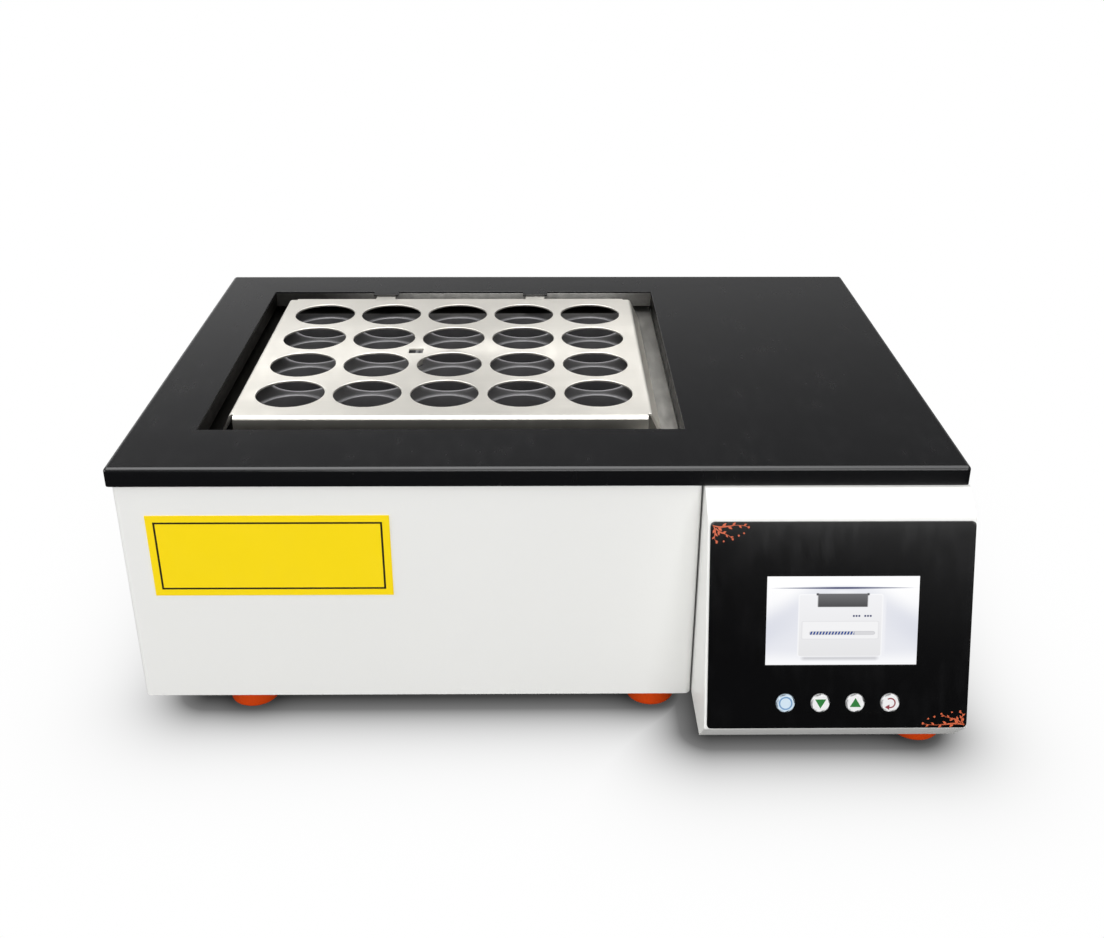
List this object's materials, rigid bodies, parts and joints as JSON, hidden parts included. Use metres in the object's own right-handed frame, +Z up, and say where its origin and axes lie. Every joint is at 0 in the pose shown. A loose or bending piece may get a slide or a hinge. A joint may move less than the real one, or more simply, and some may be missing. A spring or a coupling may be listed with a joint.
{
  "type": "block digester",
  "caption": "Low bench digester: graphite block with tube wells under a hinged perforated plate, black cover, white body, slanted control box with display and keys, rubber feet.",
  "frame": {"origin": "on the bench, under the middle of the footprint", "axes": "+Z up, +Y to the rear, +X to the control box side, longest extent along X"},
  "size_m": [0.492, 0.4078, 0.1695],
  "materials": {
    "black_cover": "semi-gloss black powder coat, light orange peel",
    "stainless": "fine brushed stainless sheet with bright folds",
    "graphite": "machined isostatic graphite, satin grey-black",
    "zinc_steel": "zinc-plated sheet and fasteners",
    "ceramic": "unglazed steatite ceramic",
    "insulation": "off-white ceramic fibre board",
    "cast_aluminium": "machined and cast aluminium",
    "white_paint": "warm white powder coat",
    "yellow_plate": "plain yellow plastic film plate with a black frame",
    "black_panel": "glossy black acrylic panel",
    "display": "backlit display glass with a plain coloured screen layout",
    "circuit_board": "green circuit board with parts",
    "key_white": "white keys with plain printed signs",
    "black_plastic": "black moulded plastic",
    "red_rocker": "translucent red rocker",
    "brass": "brass pins and earth stud",
    "orange_rubber": "orange-red rubber",
    "black_rubber": "black rubber"
  },
  "bodies": {
    "housing": {"top_cover": "black_cover", "opening_collar": "stainless", "graphite_block": "graphite", "temperature_probe": "stainless", "ledge_frame": "stainless", "well_casing": "zinc_steel", "casing_legs": "zinc_steel", "support_pillars": "ceramic", "heater_plate": "cast_aluminium", "cartridge_heaters": "stainless", "heater_terminals": "ceramic", "safety_thermostat": "ceramic", "insulation_base": "insulation", "insulation_front": "insulation", "insulation_rear": "insulation", "insulation_left": "insulation", "insulation_right": "insulation", "main_shell": "white_paint", "base_plate": "zinc_steel", "rear_panel": "white_paint", "label_plate": "yellow_plate", "control_box_shell": "white_paint", "control_rear_panel": "white_paint", "control_panel": "black_panel", "display_glass": "display", "display_module": "circuit_board", "key_board": "circuit_board", "panel_studs": "zinc_steel", "main_board": "circuit_board", "board_standoffs": "zinc_steel", "relay_heat_sink": "cast_aluminium", "solid_state_relay": "black_plastic", "power_supply": "zinc_steel", "terminal_block": "black_plastic", "power_inlet": "black_plastic", "inlet_pins": "brass", "switch_frame": "black_plastic", "wall_grommet": "black_rubber", "joining_bolts": "zinc_steel", "cover_screws": "zinc_steel", "panel_screws": "zinc_steel", "base_screws": "zinc_steel", "earth_stud": "brass", "foot_front_left": "orange_rubber", "foot_front_middle": "orange_rubber", "foot_front_right": "orange_rubber", "foot_rear_left": "orange_rubber", "foot_rear_middle": "orange_rubber", "foot_rear_right": "orange_rubber", "foot_washers": "black_rubber", "foot_screws": "zinc_steel"},
    "guide": {"guide_plate": "stainless"},
    "info_key": {"key_info": "key_white"},
    "down_key": {"key_down": "key_white"},
    "up_key": {"key_up": "key_white"},
    "return_key": {"key_return": "key_white"},
    "rocker": {"switch_rocker": "red_rocker"}
  },
  "joints": [
    {"name": "guide_hinge", "type": "hinge", "parent": "housing", "child": "guide", "pos_m": [-0.0605, 0.158, 0.1677], "axis": [-1, 0, 0], "range_deg": [0, 75]},
    {"name": "info_press", "type": "slide", "parent": "housing", "child": "info_key", "axis": [0, 0.9533, -0.302], "range_m": [0, 0.0008], "stiffness_N_per_m": 300},
    {"name": "down_press", "type": "slide", "parent": "housing", "child": "down_key", "axis": [0, 0.9533, -0.302], "range_m": [0, 0.0008], "stiffness_N_per_m": 300},
    {"name": "up_press", "type": "slide", "parent": "housing", "child": "up_key", "axis": [0, 0.9533, -0.302], "range_m": [0, 0.0008], "stiffness_N_per_m": 300},
    {"name": "return_press", "type": "slide", "parent": "housing", "child": "return_key", "axis": [0, 0.9533, -0.302], "range_m": [0, 0.0008], "stiffness_N_per_m": 300},
    {"name": "rocker_tilt", "type": "hinge", "parent": "housing", "child": "rocker", "pos_m": [0.1988, 0.1954, 0.074], "axis": [1, 0, 0], "range_deg": [0, 18]}
  ]
}
